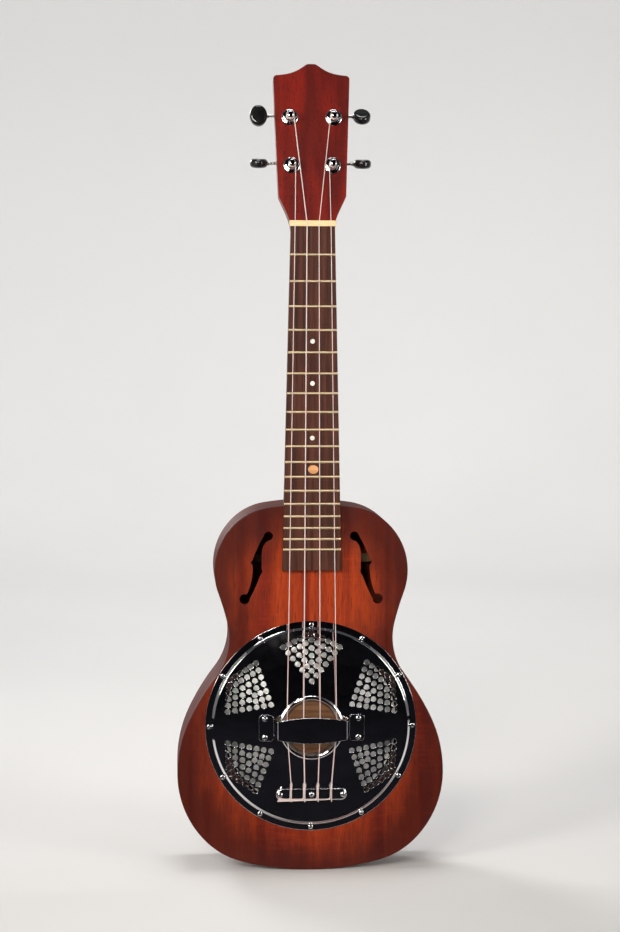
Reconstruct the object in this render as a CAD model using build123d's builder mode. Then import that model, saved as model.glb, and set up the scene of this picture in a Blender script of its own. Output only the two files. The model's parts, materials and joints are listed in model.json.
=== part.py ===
from build123d import *

import os
from math import asin, atan2, cos, hypot, pi, radians, sin

# A tenor resonator ukulele standing on its tail: X to the right as the player's
# audience sees it, Y to the back, Z up along the strings. The origin is under the
# middle of the body at the tail. Millimetres throughout. "Height" means the
# distance in front of the soundboard's face.

# --- Driving dimensions --------------------------------------------------------

SCALE_LENGTH = 432.0
NUT_Z = 563.0                 # end of the fretboard, where the strings leave the nut
NUT_THICKNESS = 5.0
NUT_WIDTH = 40.0
FRET_COUNT = 18

BODY_DEPTH = 64.0
HAND_REST_HEIGHT = 25.0       # the foremost point of the instrument
BOARD_Y = (HAND_REST_HEIGHT - BODY_DEPTH) / 2   # front face of the soundboard
PLATE = 2.5                   # soundboard and back
EDGE_RADIUS = 1.0
RIB = 2.0                     # bent sides
LINING_WIDTH = 5.0
LINING_DEPTH = 6.0
NECK_JOIN_Z = 322.8

FRETBOARD_THICKNESS = 6.5
FRETBOARD_END_Z = 265.4
FRETBOARD_NUT_WIDTH = 38.0
FRETBOARD_END_WIDTH = 51.5
FRET_WIDTH = 2.0
FRET_CROWN = 1.0
TANG_WIDTH = 0.5
TANG_DEPTH = 2.0

COVER_Z = 128.0               # axis of the cover plate, cone and biscuit
COVER_RADIUS = 92.5
COVER_SHEET = 0.8
WELL_OPENING_RADIUS = 78.0
CONE_RADIUS = 76.0
CONE_LEDGE_HEIGHT = -13.0
CONE_SHEET = 0.5
BISCUIT_RADIUS = 23.0
BISCUIT_BOTTOM = 1.0
BISCUIT_TOP = 7.0

NUT_STRING_HEIGHT = 8.2
SADDLE_STRING_HEIGHT = 13.0
STRING_DIAMETERS = {"g": 0.76, "c": 1.02, "e": 0.81, "a": 0.71}
NUT_SPACING = 10.3
SADDLE_SPACING = 14.4
TIE_SPACING = 11.7

HEAD_TILT = 10.0              # degrees back from the fretboard
HEADPLATE = 1.5
HEAD_WOOD = 12.5
HEAD_LENGTH = 139.0

POST_RADIUS = 3.0
RUNNING_GAP = 0.05            # radial clearance of every turning shaft
GEAR_TEETH = 14
GEAR_PITCH_RADIUS = 4.8
WORM_PITCH_RADIUS = 2.2
WORM_PITCH = 2 * pi * GEAR_PITCH_RADIUS / GEAR_TEETH

os.makedirs("parts", exist_ok=True)


def write(node, part):
    """Label a finished piece and write it as its own STEP file."""
    part.label = node
    export_step(part, f"parts/{node}.step")


def across(y):
    """The upright plane at depth y, facing the player: local x, local z up."""
    return Plane.XZ.offset(-y)


# Plane of the cover plate: local x, local y up, local z is the height.
COVER = Plane(origin=(0, BOARD_Y, COVER_Z), x_dir=(1, 0, 0), z_dir=(0, -1, 0))
# Half plane for turned pieces: local x is the radius, local y the height.
RADIAL = Plane(origin=(0, BOARD_Y, COVER_Z), x_dir=(1, 0, 0), z_dir=(0, 0, -1))
COVER_AXIS = Axis((0, BOARD_Y, COVER_Z), (0, -1, 0))

# Plane of the headstock's face: local y runs towards its tip, local z is in front.
TILT = radians(HEAD_TILT)
HEAD_START_Z = NUT_Z + NUT_THICKNESS
HEAD = Plane(
    origin=(0, BOARD_Y - HEADPLATE, HEAD_START_Z),
    x_dir=(1, 0, 0),
    z_dir=(0, -cos(TILT), sin(TILT)),
)


def head_point(x, along, front):
    return HEAD.from_local_coords(Vector(x, along, front))


# --- Body outline --------------------------------------------------------------

# Right half from the tail over the lower bout, waist and upper bout to the neck:
# the radius and angle of each arc, every one tangent to the last. The waist's two
# arcs curve the other way, so their radii are negative.
OUTLINE_ARCS = (
    (232, 15.3), (69, 29.1), (85, 44.7), (112, 26.1), (203, 12.5),
    (-55, 51.2), (-240, 6.6), (57, 70.4), (52, 30.4), (236, 9.3),
)


def outline(inset=0.0):
    """The face inside the body's outline, moved inwards by inset."""
    with BuildSketch() as shape:
        with BuildLine():
            spot, heading = Vector(0, 0), Vector(1, 0)
            for radius, angle in OUTLINE_ARCS:
                arc = JernArc(spot, heading, abs(radius), angle if radius > 0 else -angle)
                spot, heading = arc @ 1, arc % 1
            Line(spot, (0, spot.Y))
            mirror(about=Plane.YZ)
        make_face()
        if inset:
            offset(amount=-inset)
    return shape.sketch


OUTER = outline()
INNER = outline(RIB)
LINING_INNER = outline(RIB + LINING_WIDTH)
BOARD_BACK_Y = BOARD_Y + PLATE
BACK_Y = BOARD_Y + BODY_DEPTH
BACK_FRONT_Y = BACK_Y - PLATE
RIB_DEPTH = BACK_FRONT_Y - BOARD_BACK_Y


def f_hole():
    """The right sound hole: two eyes joined by a waisted stem with two nicks."""
    with BuildSketch() as shape:
        with Locations((37.5, 294.8)):
            Circle(3.9)
        with Locations((58.2, 239.8)):
            Circle(4.4)
        with BuildLine():
            outer_top = Spline((39.9, 297.9), (46.1, 286.6), (51.3, 274.0))
            Polyline(outer_top @ 1, (53.0, 271.8), (51.2, 269.2))
            outer_low = Spline((51.2, 269.2), (51.6, 259.5), (55.8, 245.0))
            Polyline(outer_low @ 1, (60.0, 238.0), (56.0, 236.2))
            inner_low = Spline((56.0, 236.2), (50.5, 246.3), (44.8, 260.1))
            Polyline(inner_low @ 1, (42.6, 263.5), (43.4, 266.3))
            inner_top = Spline((43.4, 266.3), (43.4, 278.5), (40.9, 288.0), (37.6, 290.9))
            Line(inner_top @ 1, (39.9, 297.9))
        make_face()
    return shape.sketch


DOWEL_RADIUS = 4.0
DOWEL_DEPTHS = (BOARD_Y + 12, BOARD_Y + 26)
DOWEL_LENGTH = 30.0

F_HOLE = f_hole()
COVER_SCREW_CIRCLE = 89.2
COVER_SCREW_COUNT = 12
PILOT_RADIUS = 0.9

with BuildPart() as top_plate:
    with BuildSketch(across(BOARD_BACK_Y)):
        add(OUTER)
    extrude(amount=PLATE)
    fillet(top_plate.faces().sort_by(Axis.Y)[0].edges(), EDGE_RADIUS)
    with BuildSketch(across(BOARD_BACK_Y)):
        add(F_HOLE)
        add(mirror(F_HOLE, about=Plane.YZ, mode=Mode.PRIVATE))
        with Locations((0, COVER_Z)):
            Circle(WELL_OPENING_RADIUS)
            with PolarLocations(COVER_SCREW_CIRCLE, COVER_SCREW_COUNT, start_angle=90):
                Circle(PILOT_RADIUS)
    extrude(amount=PLATE, mode=Mode.SUBTRACT)
write("top_plate", top_plate.part)

with BuildPart() as back_plate:
    with BuildSketch(across(BACK_Y)):
        add(OUTER)
    extrude(amount=PLATE)
    fillet(back_plate.faces().sort_by(Axis.Y)[-1].edges(), EDGE_RADIUS)
write("back_plate", back_plate.part)

for side, name in ((-1, "rib_left"), (1, "rib_right")):
    with BuildPart() as rib:
        with BuildSketch(across(BACK_FRONT_Y)):
            add(OUTER)
            add(INNER, mode=Mode.SUBTRACT)
            with Locations((-side * 100, NECK_JOIN_Z / 2)):
                Rectangle(200, 2 * NECK_JOIN_Z, mode=Mode.SUBTRACT)
        extrude(amount=RIB_DEPTH)
        for y in DOWEL_DEPTHS:
            with Locations((0, y, NECK_JOIN_Z)):
                Cylinder(DOWEL_RADIUS, DOWEL_LENGTH, mode=Mode.SUBTRACT)
    write(name, rib.part)

# --- Blocks, linings, braces and the soundwell ------------------------------------

NECK_BLOCK_WIDTH = 60.0
NECK_BLOCK_BOTTOM_Z = 298.0
TAIL_BLOCK_WIDTH = 60.0
TAIL_BLOCK_TOP_Z = 16.0
SOUNDWELL_OUTER = 93.5
LEDGE_INNER = 70.0
LEDGE_THICKNESS = 5.5


def block(width, low, high):
    """A block between the plates, shaped to the inside of the sides."""
    with BuildPart() as piece:
        with BuildSketch(across(BACK_FRONT_Y)):
            with Locations((0, (low + high) / 2)):
                Rectangle(width, high - low)
            add(INNER, mode=Mode.INTERSECT)
        extrude(amount=RIB_DEPTH)
    return piece.part


with BuildPart() as neck_block:
    add(block(NECK_BLOCK_WIDTH, NECK_BLOCK_BOTTOM_Z, NECK_JOIN_Z + 10))
    for y in DOWEL_DEPTHS:
        with Locations((0, y, NECK_JOIN_Z)):
            Cylinder(DOWEL_RADIUS, DOWEL_LENGTH, mode=Mode.SUBTRACT)
write("neck_block", neck_block.part)

tail_block = block(TAIL_BLOCK_WIDTH, -10, TAIL_BLOCK_TOP_Z)
write("tail_block", tail_block)


def lining(y_back):
    """The glue strip inside the sides, cut away at the two blocks."""
    with BuildPart() as strip:
        with BuildSketch(across(y_back)):
            add(INNER)
            add(LINING_INNER, mode=Mode.SUBTRACT)
            for width, low, high in (
                (NECK_BLOCK_WIDTH, NECK_BLOCK_BOTTOM_Z, NECK_JOIN_Z + 10),
                (TAIL_BLOCK_WIDTH, -10, TAIL_BLOCK_TOP_Z),
            ):
                with Locations((0, (low + high) / 2)):
                    Rectangle(width, high - low, mode=Mode.SUBTRACT)
        extrude(amount=LINING_DEPTH)
    return strip.part


with BuildPart() as top_lining:
    add(lining(BOARD_BACK_Y + LINING_DEPTH))
    with BuildSketch(across(BOARD_BACK_Y + LINING_DEPTH)):
        with Locations((0, COVER_Z)):
            Circle(SOUNDWELL_OUTER)
    extrude(amount=LINING_DEPTH, mode=Mode.SUBTRACT)
write("top_lining", top_lining.part)
write("back_lining", lining(BACK_FRONT_Y))

with BuildPart() as soundwell:
    with BuildSketch(RADIAL):
        with BuildLine():
            Polyline(
                (WELL_OPENING_RADIUS, -PLATE),
                (SOUNDWELL_OUTER, -PLATE),
                (SOUNDWELL_OUTER, CONE_LEDGE_HEIGHT - LEDGE_THICKNESS),
                (LEDGE_INNER, CONE_LEDGE_HEIGHT - LEDGE_THICKNESS),
                (LEDGE_INNER, CONE_LEDGE_HEIGHT),
                (WELL_OPENING_RADIUS, CONE_LEDGE_HEIGHT),
                close=True,
            )
        make_face()
    revolve(axis=COVER_AXIS)
    with BuildSketch(across(BOARD_Y + 30)):
        add(INNER)
    extrude(amount=30, mode=Mode.INTERSECT)
    with BuildSketch(COVER):
        with PolarLocations(COVER_SCREW_CIRCLE, COVER_SCREW_COUNT, start_angle=90):
            Circle(PILOT_RADIUS)
    extrude(amount=-9, mode=Mode.SUBTRACT)
write("soundwell", soundwell.part)

BRACE_WIDTH = 7.0
BRACE_DEPTH = 8.0
BACK_BRACES = ((270, 68), (200, 56), (120, 96), (45, 88))   # place and half length
TOP_BRACE_Z = 286.0
TOP_BRACE_LENGTH = 54.0

with BuildPart() as braces:
    for z, half_length in BACK_BRACES:
        with Locations((0, BACK_FRONT_Y - BRACE_DEPTH / 2, z)):
            Box(2 * half_length, BRACE_DEPTH, BRACE_WIDTH)
    with Locations((0, BOARD_BACK_Y + BRACE_DEPTH / 2, TOP_BRACE_Z)):
        Box(TOP_BRACE_LENGTH, BRACE_DEPTH, BRACE_WIDTH)
    chamfer(braces.edges().filter_by(Axis.Z), 3)
write("braces", braces.part)

# --- Neck and headstock ----------------------------------------------------------


def fretboard_width(z):
    share = (NUT_Z - z) / (NUT_Z - FRETBOARD_END_Z)
    return FRETBOARD_NUT_WIDTH + share * (FRETBOARD_END_WIDTH - FRETBOARD_NUT_WIDTH)


PROUD = 1.0                   # the neck blank stands this far in front before planing


def neck_section(plane, width, depth, squareness):
    """Half a superellipse: flat in front, rounded behind."""
    with BuildSketch(plane) as section:
        with BuildLine():
            points = []
            for step in range(13):
                angle = pi * step / 12
                x = width / 2 * abs(cos(angle)) ** (2 / squareness)
                y = (depth + PROUD) * sin(angle) ** (2 / squareness) - PROUD
                points.append((x if cos(angle) > 0 else -x, y))
            back = Spline(*points, tangents=[(0, 1), (0, -1)])
            Line(back @ 1, back @ 0)
        make_face()
    return section.sketch.face()


def shaft_plane(z):
    return Plane(origin=(0, BOARD_Y, z), x_dir=(1, 0, 0), z_dir=(0, 0, 1))


def head_section_plane(along):
    """Across the headstock: local y points to its back."""
    return Plane(
        origin=head_point(0, along, -HEADPLATE), x_dir=(1, 0, 0), z_dir=(0, sin(TILT), cos(TILT))
    )


HEAD_FOOT = -16.0             # where the headstock's outline leaves the neck's sides
HEAD_HALF = [(19.2, HEAD_FOOT), (20.0, 0), (22.2, 6.5), (25.6, 14.0), (29.3, 21.8)]


def head_outline():
    """The headstock's face: hollow sides at the nut, a crown with a low peak."""
    with BuildSketch() as face:
        with BuildLine():
            hollow = Spline(*HEAD_HALF)
            side_line = Line(hollow @ 1, (33.2, 125.6))
            corner = ThreePointArc(side_line @ 1, (32.3, 127.8), (30.0, 128.8))
            crown = Spline(
                corner @ 1, (17.0, 131.2), (10.3, 134.4), (5.2, 137.9), (1.6, HEAD_LENGTH),
                tangents=[(-1, 0.1), (-1, 0)],
            )
            Line(crown @ 1, (0, HEAD_LENGTH))
            Line((0, HEAD_FOOT), HEAD_HALF[0])
            mirror(about=Plane.YZ)
        make_face()
    return face.sketch


HEAD_FACE = head_outline()
# The heel from the shaft to the body: height, depth and squareness of each section.
HEEL_SECTIONS = (
    (376, 17.0, 2.3), (360, 18.6, 2.2), (346, 25.0, 2.1),
    (335, 40.0, 2.0), (327, 55.0, 2.0), (316, 62.0, 2.0),
)
VOLUTE = 32.0                 # the neck's round back has become flat here, along the head
VOLUTE_Z = 551.0
HEAD_BACK = -HEADPLATE - HEAD_WOOD

# Tuners: the string's letter, its side, distance from the middle line and along the
# headstock, and how far its button is turned at rest.
TUNERS = (
    ("g", -1, 17.65, 48.6, 72),
    ("c", -1, 19.05, 91.1, 0),
    ("e", 1, 19.05, 91.1, 45),
    ("a", 1, 17.65, 48.6, 72),
)
BUSHING_RADIUS = 4.5
TUNER_SCREW_REACH = 12.0
HOUSING_SHIFT = 2.2           # the housing's middle above the post
POST_SPOTS = [(side * x, along) for _, side, x, along, _ in TUNERS]
TUNER_SCREW_SPOTS = [
    (x, along + HOUSING_SHIFT + end * TUNER_SCREW_REACH)
    for x, along in POST_SPOTS
    for end in (-1, 1)
]

with BuildPart() as body_space:
    with BuildSketch(across(BACK_Y + 5)):
        add(OUTER)
    extrude(amount=BODY_DEPTH + 20)

volute_section = neck_section(shaft_plane(VOLUTE_Z), 38.5, 14.6, 2.4)

with BuildPart() as neck:
    loft([
        volute_section,
        neck_section(shaft_plane(470), fretboard_width(470), 15.6, 2.3),
        neck_section(shaft_plane(376), fretboard_width(376), 17.0, 2.3),
    ])
    loft([
        neck_section(shaft_plane(z), fretboard_width(z), depth, squareness)
        for z, depth, squareness in HEEL_SECTIONS
    ])
    loft([
        volute_section,
        neck_section(head_section_plane(12), 54, HEAD_WOOD + 0.8, 4.5),
        neck_section(head_section_plane(VOLUTE), 66, HEAD_WOOD, 14),
    ])
    with BuildSketch(HEAD.offset(-HEADPLATE)):
        add(HEAD_FACE)
        with Locations((0, (VOLUTE + HEAD_FOOT) / 2)):
            Rectangle(100, VOLUTE - HEAD_FOOT, mode=Mode.SUBTRACT)
    extrude(amount=-HEAD_WOOD)
    # Plane the front flat, in two facets that meet behind the nut.
    with BuildSketch(Plane.YZ):
        with BuildLine():
            bend = head_point(0, 0, -HEADPLATE)
            tip = head_point(0, HEAD_LENGTH + 20, -HEADPLATE)
            Polyline(
                (BOARD_Y, 300), (BOARD_Y, bend.Z), (bend.Y, bend.Z), (tip.Y, tip.Z),
                (BOARD_Y - 40, tip.Z), (BOARD_Y - 40, 300), close=True,
            )
        make_face()
    extrude(amount=60, both=True, mode=Mode.SUBTRACT)
    # Trim the sides of the volute to the headstock's outline.
    with BuildSketch(HEAD.offset(5)):
        with Locations((0, (VOLUTE + HEAD_FOOT) / 2)):
            Rectangle(200, VOLUTE - HEAD_FOOT)
        add(HEAD_FACE, mode=Mode.SUBTRACT)
    extrude(amount=-40, mode=Mode.SUBTRACT)
    add(body_space.part, mode=Mode.SUBTRACT)
    with BuildSketch(across(BACK_Y)):
        with Locations((0, 340)):
            Rectangle(100, 100)
    extrude(amount=-30, mode=Mode.SUBTRACT)
    for y in DOWEL_DEPTHS:
        with Locations((0, y, NECK_JOIN_Z)):
            Cylinder(DOWEL_RADIUS, DOWEL_LENGTH, mode=Mode.SUBTRACT)
    with BuildSketch(HEAD):
        with Locations(*POST_SPOTS):
            Circle(BUSHING_RADIUS)
    extrude(amount=-30, mode=Mode.SUBTRACT)
    with BuildSketch(HEAD.offset(HEAD_BACK)):
        with Locations(*TUNER_SCREW_SPOTS):
            Circle(PILOT_RADIUS)
    extrude(amount=8, mode=Mode.SUBTRACT)
write("neck", neck.part)

with BuildPart() as neck_dowels:
    for y in DOWEL_DEPTHS:
        with Locations((0, y, NECK_JOIN_Z)):
            Cylinder(DOWEL_RADIUS, DOWEL_LENGTH - 1)
write("neck_dowels", neck_dowels.part)

with BuildPart() as headplate:
    with BuildSketch(HEAD.offset(-HEADPLATE)):
        add(HEAD_FACE)
        with Locations(*POST_SPOTS):
            Circle(BUSHING_RADIUS, mode=Mode.SUBTRACT)
    extrude(amount=HEADPLATE)
    with BuildSketch(Plane.XY.offset(HEAD_START_Z)):
        with Locations((0, BOARD_Y)):
            Rectangle(100, 40)
    extrude(amount=-20, mode=Mode.SUBTRACT)
write("headplate", headplate.part)

# --- Fretboard, frets, inlays and nut ------------------------------------------------

FRET_SPOTS = [NUT_Z - SCALE_LENGTH * (1 - 2 ** (-n / 12)) for n in range(1, FRET_COUNT + 1)]
FRETBOARD_Y = BOARD_Y - FRETBOARD_THICKNESS
INLAY_DEPTH = 1.0
DOT_RADIUS = 2.0
DOT_SPACES = (5, 7, 10)
OCTAVE_SPACE = 12


def space_middle(fret):
    """Middle of the space behind a fret, on the nut's side."""
    return (FRET_SPOTS[fret - 1] + FRET_SPOTS[fret - 2]) / 2


DOT_SPOTS = [(0, space_middle(fret)) for fret in DOT_SPACES]
OCTAVE_SPOT = (0.9, space_middle(OCTAVE_SPACE))
OCTAVE_HALF_WIDTH = 4.5
OCTAVE_HALF_HEIGHT = 3.7

with BuildPart() as fretboard:
    with BuildSketch(across(BOARD_Y)):
        with BuildLine():
            Polyline(
                (-FRETBOARD_END_WIDTH / 2, FRETBOARD_END_Z),
                (FRETBOARD_END_WIDTH / 2, FRETBOARD_END_Z),
                (FRETBOARD_NUT_WIDTH / 2, NUT_Z), (-FRETBOARD_NUT_WIDTH / 2, NUT_Z), close=True,
            )
        make_face()
    extrude(amount=FRETBOARD_THICKNESS)
    for z in FRET_SPOTS:
        with Locations((0, FRETBOARD_Y + TANG_DEPTH / 2, z)):
            Box(fretboard_width(z) + 1, TANG_DEPTH, TANG_WIDTH, mode=Mode.SUBTRACT)
    with BuildSketch(across(FRETBOARD_Y + INLAY_DEPTH)):
        with Locations(*DOT_SPOTS):
            Circle(DOT_RADIUS)
        with Locations(OCTAVE_SPOT):
            Ellipse(OCTAVE_HALF_WIDTH, OCTAVE_HALF_HEIGHT)
    extrude(amount=INLAY_DEPTH, mode=Mode.SUBTRACT)
write("fretboard", fretboard.part)

with BuildPart() as frets:
    for z in FRET_SPOTS:
        with BuildSketch(Plane.YZ):
            with BuildLine():
                crown = ThreePointArc(
                    (FRETBOARD_Y, z - FRET_WIDTH / 2), (FRETBOARD_Y - FRET_CROWN, z),
                    (FRETBOARD_Y, z + FRET_WIDTH / 2),
                )
                Line(crown @ 1, crown @ 0)
            make_face()
            with Locations((FRETBOARD_Y + TANG_DEPTH / 2, z)):
                Rectangle(TANG_DEPTH, TANG_WIDTH)
        extrude(amount=fretboard_width(z) / 2 - 0.2, both=True)
write("frets", frets.part)

with BuildPart() as position_dots:
    with BuildSketch(across(FRETBOARD_Y + INLAY_DEPTH)):
        with Locations(*DOT_SPOTS):
            Circle(DOT_RADIUS)
    extrude(amount=INLAY_DEPTH)
write("position_dots", position_dots.part)

with BuildPart() as octave_inlay:
    with BuildSketch(across(FRETBOARD_Y + INLAY_DEPTH)):
        with Locations(OCTAVE_SPOT):
            Ellipse(OCTAVE_HALF_WIDTH, OCTAVE_HALF_HEIGHT)
    extrude(amount=INLAY_DEPTH)
write("octave_inlay", octave_inlay.part)

# --- Cover plate -----------------------------------------------------------------

LIP_INNER = 24.0
FLANGE_RADIUS = 87.0
DOME_EDGE = (85.0, 2.5)
DOME_MIDDLE = (58.0, 7.0)
DOME_TOP = (28.0, 9.2)
HAND_REST_SCREWS = [(x, y) for x in (-40.8, 40.8) for y in (-8.25, 8.25)]
TIE_BAR_Y = -58.5
TIE_BAR_SCREWS = [(x, TIE_BAR_Y) for x in (-27.5, 0, 27.5)]
FITTING_HOLE_RADIUS = 1.2


def grille_spots():
    """Hole centres of one group: V-shaped rows that nest from the rim to the tip."""
    side_corner = Vector(24.5, 70.1)
    tip = Vector(0, 40.9)
    row_points = (82.5, 76.4, 69.4, 62.9, 57.2, 49.9, 40.9)
    row_steps = (5, 4, 3, 2, 2, 1, 0)
    spots = []
    for row, (corner_radius, steps) in enumerate(zip(row_points, row_steps)):
        edge = side_corner + (tip - side_corner) * (row / (len(row_points) - 1))
        corner = Vector(0, corner_radius)
        spots.append((0, corner_radius))
        for step in range(1, steps + 1):
            spot = corner + (edge - corner) * (step / steps)
            spots += [(spot.X, spot.Y), (-spot.X, spot.Y)]
    return spots


def cover_profile(inner):
    """The sheet's section from the flange to the rolled lip, or what is under it."""
    with BuildSketch(RADIAL) as section:
        with BuildLine():
            if inner:
                Polyline(
                    (COVER_RADIUS, 0), (COVER_RADIUS, COVER_SHEET),
                    (FLANGE_RADIUS, COVER_SHEET), DOME_EDGE,
                )
                ThreePointArc(DOME_EDGE, DOME_MIDDLE, DOME_TOP)
                ThreePointArc(DOME_TOP, (25.9, 10.3), (LIP_INNER, 9.0))
                Polyline((LIP_INNER, 9.0), (LIP_INNER, 8.2), (24.8, 8.2), (24.8, 9.0))
                ThreePointArc((24.8, 9.0), (25.9, 9.5), (27.5, 8.4))
                ThreePointArc((27.5, 8.4), (57.8, 6.2), (84.7, 1.7))
                Polyline((84.7, 1.7), (86.2, 0), (COVER_RADIUS, 0))
            else:
                Polyline(
                    (0, -20), (COVER_RADIUS, -20), (COVER_RADIUS, COVER_SHEET),
                    (FLANGE_RADIUS, COVER_SHEET),
                )
                Line((FLANGE_RADIUS, COVER_SHEET), DOME_EDGE)
                ThreePointArc(DOME_EDGE, DOME_MIDDLE, DOME_TOP)
                Polyline(DOME_TOP, (0, DOME_TOP[1]), (0, -20))
        make_face()
    return section.sketch.face()


with BuildPart() as dome_core:
    revolve(cover_profile(inner=False), axis=COVER_AXIS)

with BuildPart() as cover_plate:
    revolve(cover_profile(inner=True), axis=COVER_AXIS)
    with BuildSketch(COVER):
        for angle in (0, 60, -60, 120, -120):
            with Locations(Location((0, 0), angle)):
                with Locations(*grille_spots()):
                    Circle(2.3)
        with PolarLocations(COVER_SCREW_CIRCLE, COVER_SCREW_COUNT, start_angle=90):
            Circle(PILOT_RADIUS)
        with Locations(*HAND_REST_SCREWS, *TIE_BAR_SCREWS):
            Circle(FITTING_HOLE_RADIUS)
    extrude(amount=15, mode=Mode.SUBTRACT)
write("cover_plate", cover_plate.part)


def domed_screws(spots, seat, head_radius, shank_radius, shank_length, head_height):
    """Screws with a domed head and a cross recess, standing on a level seat."""
    with BuildPart() as screws:
        with BuildSketch(COVER.offset(seat)):
            with Locations(*spots):
                Circle(head_radius)
        extrude(amount=head_height)
        fillet(screws.faces().filter_by(Axis.Y).sort_by(Axis.Y)[:len(spots)].edges(), head_height * 0.7)
        with BuildSketch(COVER.offset(seat)):
            with Locations(*spots):
                Circle(shank_radius)
        extrude(amount=-shank_length)
        with BuildSketch(COVER.offset(seat + head_height)):
            with Locations(*spots):
                Rectangle(head_radius * 0.9, 0.5)
                Rectangle(0.5, head_radius * 0.9)
        extrude(amount=-head_height * 0.6, mode=Mode.SUBTRACT)
    return screws.part


COVER_SCREW_ANGLES = [2 * pi * n / COVER_SCREW_COUNT for n in range(COVER_SCREW_COUNT)]
COVER_SCREW_SPOTS = [
    (COVER_SCREW_CIRCLE * sin(angle), COVER_SCREW_CIRCLE * cos(angle))
    for angle in COVER_SCREW_ANGLES
]
write("cover_screws", domed_screws(COVER_SCREW_SPOTS, COVER_SHEET, 2.1, PILOT_RADIUS, 8.5, 1.3))

# --- Hand rest and tie bar ---------------------------------------------------------

FOOT_TOP = 10.0
REST_SHEET = 1.2
TIE_BAR_TOP = 11.0
TIE_BAR_LENGTH = 62.0
TIE_BAR_WIDTH = 10.3
STRING_HOLE_HEIGHT = 9.3
STRING_HOLE_RADIUS = 0.7

with BuildPart() as hand_rest:
    # The arch: a bent strip, seen from its end, then trimmed to a lens.
    with BuildSketch(RADIAL):
        with BuildLine():
            outer_wall = Line((34.0, 6.0), (30.6, 22.4))
            outer_corner = ThreePointArc(outer_wall @ 1, (29.6, 23.9), (27.6, 24.5))
            outer_top = ThreePointArc(outer_corner @ 1, (14.0, 24.87), (0, HAND_REST_HEIGHT))
            inner_top = ThreePointArc(
                (0, HAND_REST_HEIGHT - REST_SHEET), (14.0, 23.67), (27.4, 23.3)
            )
            inner_corner = ThreePointArc(inner_top @ 1, (28.8, 22.9), (29.4, 21.9))
            Polyline(inner_corner @ 1, (32.7, 6.0), (34.0, 6.0))
            mirror(about=Plane.YZ)
        make_face()
    extrude(amount=14, both=True)
    with BuildSketch(COVER):
        with BuildLine():
            upper = ThreePointArc((-36, 6.6), (0, 11.2), (36, 6.6))
            lower = ThreePointArc((-36, -6.6), (0, -11.2), (36, -6.6))
            Line(upper @ 0, lower @ 0)
            Line(upper @ 1, lower @ 1)
        make_face()
    extrude(amount=40, mode=Mode.INTERSECT)
    with BuildSketch(COVER.offset(FOOT_TOP)):
        with Locations((-39.6, 0), (39.6, 0)):
            RectangleRounded(12.8, 23.0, 3.2)
    extrude(amount=-5)
    add(dome_core.part, mode=Mode.SUBTRACT)
    with BuildSketch(COVER):
        with Locations(*HAND_REST_SCREWS):
            Circle(FITTING_HOLE_RADIUS)
    extrude(amount=15, mode=Mode.SUBTRACT)
write("hand_rest", hand_rest.part)

STRING_PLACES = {"g": -1.5, "c": -0.5, "e": 0.5, "a": 1.5}

with BuildPart() as tie_bar:
    with BuildSketch(COVER.offset(4)):
        with Locations((0, TIE_BAR_Y)):
            SlotOverall(TIE_BAR_LENGTH, TIE_BAR_WIDTH)
    extrude(amount=TIE_BAR_TOP - 4)
    fillet(tie_bar.faces().sort_by(Axis.Y)[0].edges(), 1.5)
    add(dome_core.part, mode=Mode.SUBTRACT)
    with BuildSketch(COVER):
        with Locations(*TIE_BAR_SCREWS):
            Circle(FITTING_HOLE_RADIUS)
    extrude(amount=15, mode=Mode.SUBTRACT)
    with BuildSketch(Plane.XY.offset(COVER_Z + TIE_BAR_Y - TIE_BAR_WIDTH)):
        for place in STRING_PLACES.values():
            with Locations((place * TIE_SPACING, BOARD_Y - STRING_HOLE_HEIGHT)):
                Circle(STRING_HOLE_RADIUS)
    extrude(amount=2 * TIE_BAR_WIDTH, mode=Mode.SUBTRACT)
write("tie_bar", tie_bar.part)

with BuildPart() as fitting_screws:
    add(domed_screws(HAND_REST_SCREWS, FOOT_TOP, 2.4, FITTING_HOLE_RADIUS, 6.5, 1.6))
    add(domed_screws(TIE_BAR_SCREWS, TIE_BAR_TOP, 2.3, FITTING_HOLE_RADIUS, 8.5, 1.6))
write("fitting_screws", fitting_screws.part)

with BuildPart() as fitting_nuts:
    for spots, low in ((HAND_REST_SCREWS, 4.6), (TIE_BAR_SCREWS, 3.2)):
        with BuildSketch(COVER.offset(low)):
            with Locations(*spots):
                RegularPolygon(2.4, 6)
                Circle(FITTING_HOLE_RADIUS, mode=Mode.SUBTRACT)
        extrude(amount=2.2)
    add(cover_plate.part, mode=Mode.SUBTRACT)
write("fitting_nuts", fitting_nuts.part)

# --- Cone, biscuit and saddle -------------------------------------------------------

BISCUIT_SCREW_RADIUS = 1.3
SADDLE_THICKNESS = 3.0
SADDLE_LENGTH = 45.4
SADDLE_SLOT = 2.5

with BuildPart() as cone:
    with BuildSketch(RADIAL):
        with BuildLine():
            Polyline(
                (BISCUIT_SCREW_RADIUS, BISCUIT_BOTTOM), (24.0, BISCUIT_BOTTOM),
                (72.0, -12.0), (74.6, -12.3), (75.2, -11.6), (CONE_RADIUS, -11.6),
                (CONE_RADIUS, CONE_LEDGE_HEIGHT), (72.0, CONE_LEDGE_HEIGHT), (71.9, -12.5),
                (23.9, BISCUIT_BOTTOM - CONE_SHEET),
                (BISCUIT_SCREW_RADIUS, BISCUIT_BOTTOM - CONE_SHEET), close=True,
            )
        make_face()
    revolve(axis=COVER_AXIS)
write("cone", cone.part)

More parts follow.
